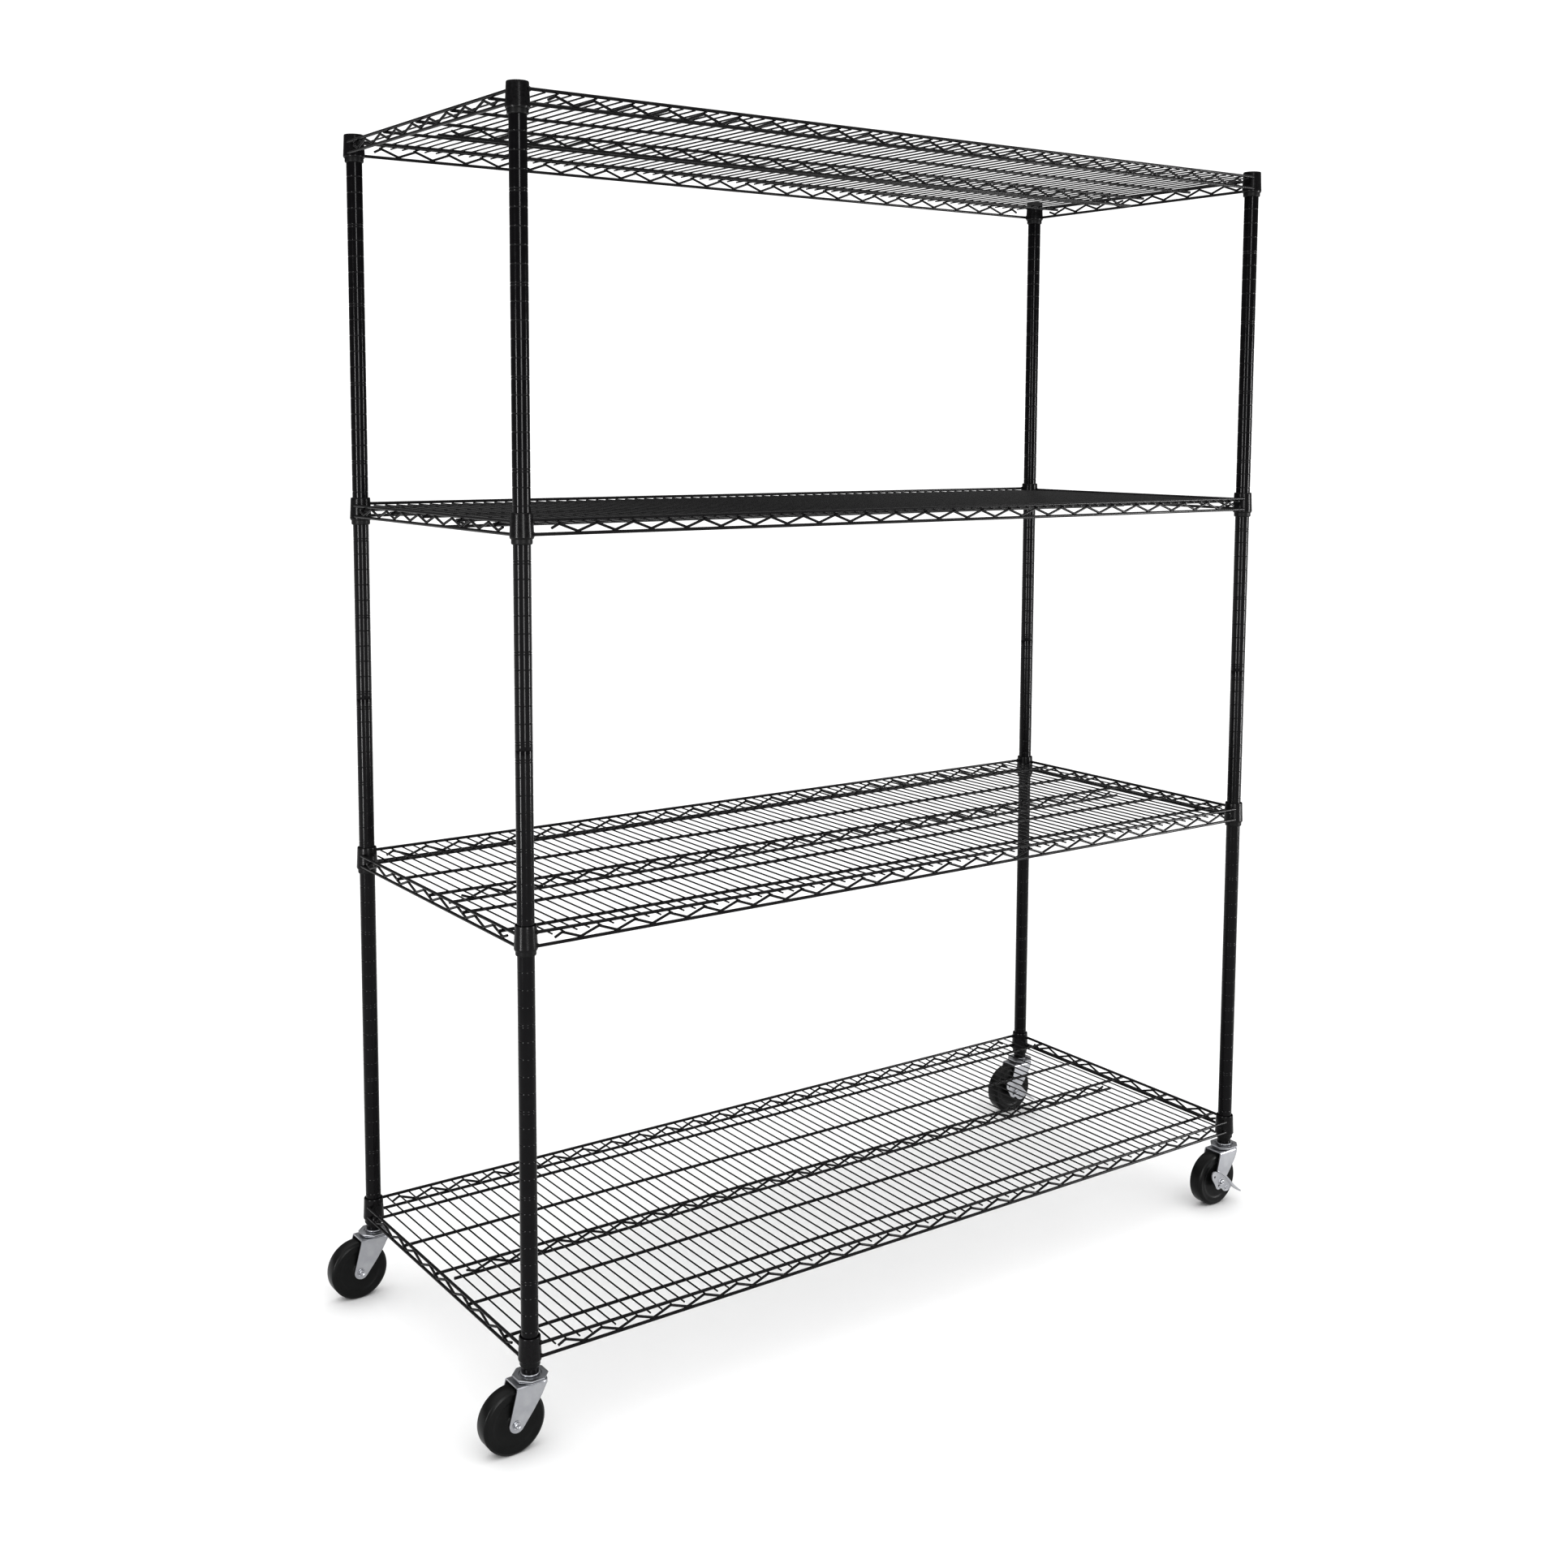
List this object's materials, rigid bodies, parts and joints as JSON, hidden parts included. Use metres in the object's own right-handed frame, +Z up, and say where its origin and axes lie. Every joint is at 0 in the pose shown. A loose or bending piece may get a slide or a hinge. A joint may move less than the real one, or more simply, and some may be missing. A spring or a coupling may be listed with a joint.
{
  "type": "wire shelving rack",
  "caption": "Rolling wire shelving rack: screw-together posts, welded wire shelves on tapered sleeves, swivel casters, some with a side brake lever.",
  "frame": {"origin": "on the floor, at the centre of the rack's bounding box seen from above, casters as they trail at rest included", "axes": "+Z up along the posts, +X along the shelves' long side to the right seen from the brake lever side, +Y from that front side to the back"},
  "size_m": [1.5954, 0.6302, 1.9451],
  "materials": {
    "post_black": "gloss black powder coat on steel tube",
    "wire_black": "satin black powder coat on welded steel wire",
    "sleeve_plastic": "dark grey-black moulded plastic",
    "cap_plastic": "black moulded plastic",
    "zinc_steel": "bright bluish zinc plate on pressed steel",
    "wheel_rubber": "black semi-gloss wheel"
  },
  "bodies": {
    "rack": {"post_front_left_lower": "post_black", "post_front_left_upper": "post_black", "post_front_left_cap": "cap_plastic", "sleeve_front_left_1": "sleeve_plastic", "sleeve_front_left_2": "sleeve_plastic", "sleeve_front_left_3": "sleeve_plastic", "sleeve_front_left_4": "sleeve_plastic", "caster_front_left_stem": "zinc_steel", "caster_front_left_bearing_plate": "zinc_steel", "post_front_right_lower": "post_black", "post_front_right_upper": "post_black", "post_front_right_cap": "cap_plastic", "sleeve_front_right_1": "sleeve_plastic", "sleeve_front_right_2": "sleeve_plastic", "sleeve_front_right_3": "sleeve_plastic", "sleeve_front_right_4": "sleeve_plastic", "caster_front_right_stem": "zinc_steel", "caster_front_right_bearing_plate": "zinc_steel", "post_back_left_lower": "post_black", "post_back_left_upper": "post_black", "post_back_left_cap": "cap_plastic", "sleeve_back_left_1": "sleeve_plastic", "sleeve_back_left_2": "sleeve_plastic", "sleeve_back_left_3": "sleeve_plastic", "sleeve_back_left_4": "sleeve_plastic", "caster_back_left_stem": "zinc_steel", "caster_back_left_bearing_plate": "zinc_steel", "post_back_right_lower": "post_black", "post_back_right_upper": "post_black", "post_back_right_cap": "cap_plastic", "sleeve_back_right_1": "sleeve_plastic", "sleeve_back_right_2": "sleeve_plastic", "sleeve_back_right_3": "sleeve_plastic", "sleeve_back_right_4": "sleeve_plastic", "caster_back_right_stem": "zinc_steel", "caster_back_right_bearing_plate": "zinc_steel", "shelf_1_frame": "wire_black", "shelf_1_deck": "wire_black", "shelf_2_frame": "wire_black", "shelf_2_deck": "wire_black", "shelf_3_frame": "wire_black", "shelf_3_deck": "wire_black", "shelf_4_frame": "wire_black", "shelf_4_deck": "wire_black"},
    "swivel_front_left": {"caster_front_left_fork": "zinc_steel", "caster_front_left_axle": "zinc_steel"},
    "wheel_front_left": {"caster_front_left_wheel": "wheel_rubber"},
    "swivel_front_right": {"caster_front_right_fork": "zinc_steel", "caster_front_right_axle": "zinc_steel"},
    "wheel_front_right": {"caster_front_right_wheel": "wheel_rubber"},
    "brake_lever_front_right": {"caster_front_right_brake_lever": "zinc_steel"},
    "swivel_back_left": {"caster_back_left_fork": "zinc_steel", "caster_back_left_axle": "zinc_steel"},
    "wheel_back_left": {"caster_back_left_wheel": "wheel_rubber"},
    "swivel_back_right": {"caster_back_right_fork": "zinc_steel", "caster_back_right_axle": "zinc_steel"},
    "wheel_back_right": {"caster_back_right_wheel": "wheel_rubber"},
    "brake_lever_back_right": {"caster_back_right_brake_lever": "zinc_steel"}
  },
  "joints": [
    {"name": "swivel_front_left_turn", "type": "hinge", "parent": "rack", "child": "swivel_front_left", "pos_m": [-0.71722, -0.285, 0.1], "axis": [0, 0, 1], "continuous": true},
    {"name": "wheel_front_left_spin", "type": "hinge", "parent": "swivel_front_left", "child": "wheel_front_left", "pos_m": [-0.74872, -0.285, 0.049], "axis": [0, 1, 0], "continuous": true},
    {"name": "swivel_front_right_turn", "type": "hinge", "parent": "rack", "child": "swivel_front_right", "pos_m": [0.77278, -0.285, 0.1], "axis": [0, 0, 1], "continuous": true},
    {"name": "wheel_front_right_spin", "type": "hinge", "parent": "swivel_front_right", "child": "wheel_front_right", "pos_m": [0.74128, -0.285, 0.049], "axis": [0, 1, 0], "continuous": true},
    {"name": "brake_lever_front_right_lift", "type": "hinge", "parent": "swivel_front_right", "child": "brake_lever_front_right", "pos_m": [0.74128, -0.285, 0.049], "axis": [0, 1, 0], "range_deg": [-22, 0]},
    {"name": "swivel_back_left_turn", "type": "hinge", "parent": "rack", "child": "swivel_back_left", "pos_m": [-0.71722, 0.291, 0.1], "axis": [0, 0, 1], "continuous": true},
    {"name": "wheel_back_left_spin", "type": "hinge", "parent": "swivel_back_left", "child": "wheel_back_left", "pos_m": [-0.74872, 0.291, 0.049], "axis": [0, 1, 0], "continuous": true},
    {"name": "swivel_back_right_turn", "type": "hinge", "parent": "rack", "child": "swivel_back_right", "pos_m": [0.77278, 0.291, 0.1], "axis": [0, 0, 1], "continuous": true},
    {"name": "wheel_back_right_spin", "type": "hinge", "parent": "swivel_back_right", "child": "wheel_back_right", "pos_m": [0.74128, 0.291, 0.049], "axis": [0, 1, 0], "continuous": true},
    {"name": "brake_lever_back_right_lift", "type": "hinge", "parent": "swivel_back_right", "child": "brake_lever_back_right", "pos_m": [0.74128, 0.291, 0.049], "axis": [0, 1, 0], "range_deg": [-22, 0]}
  ]
}
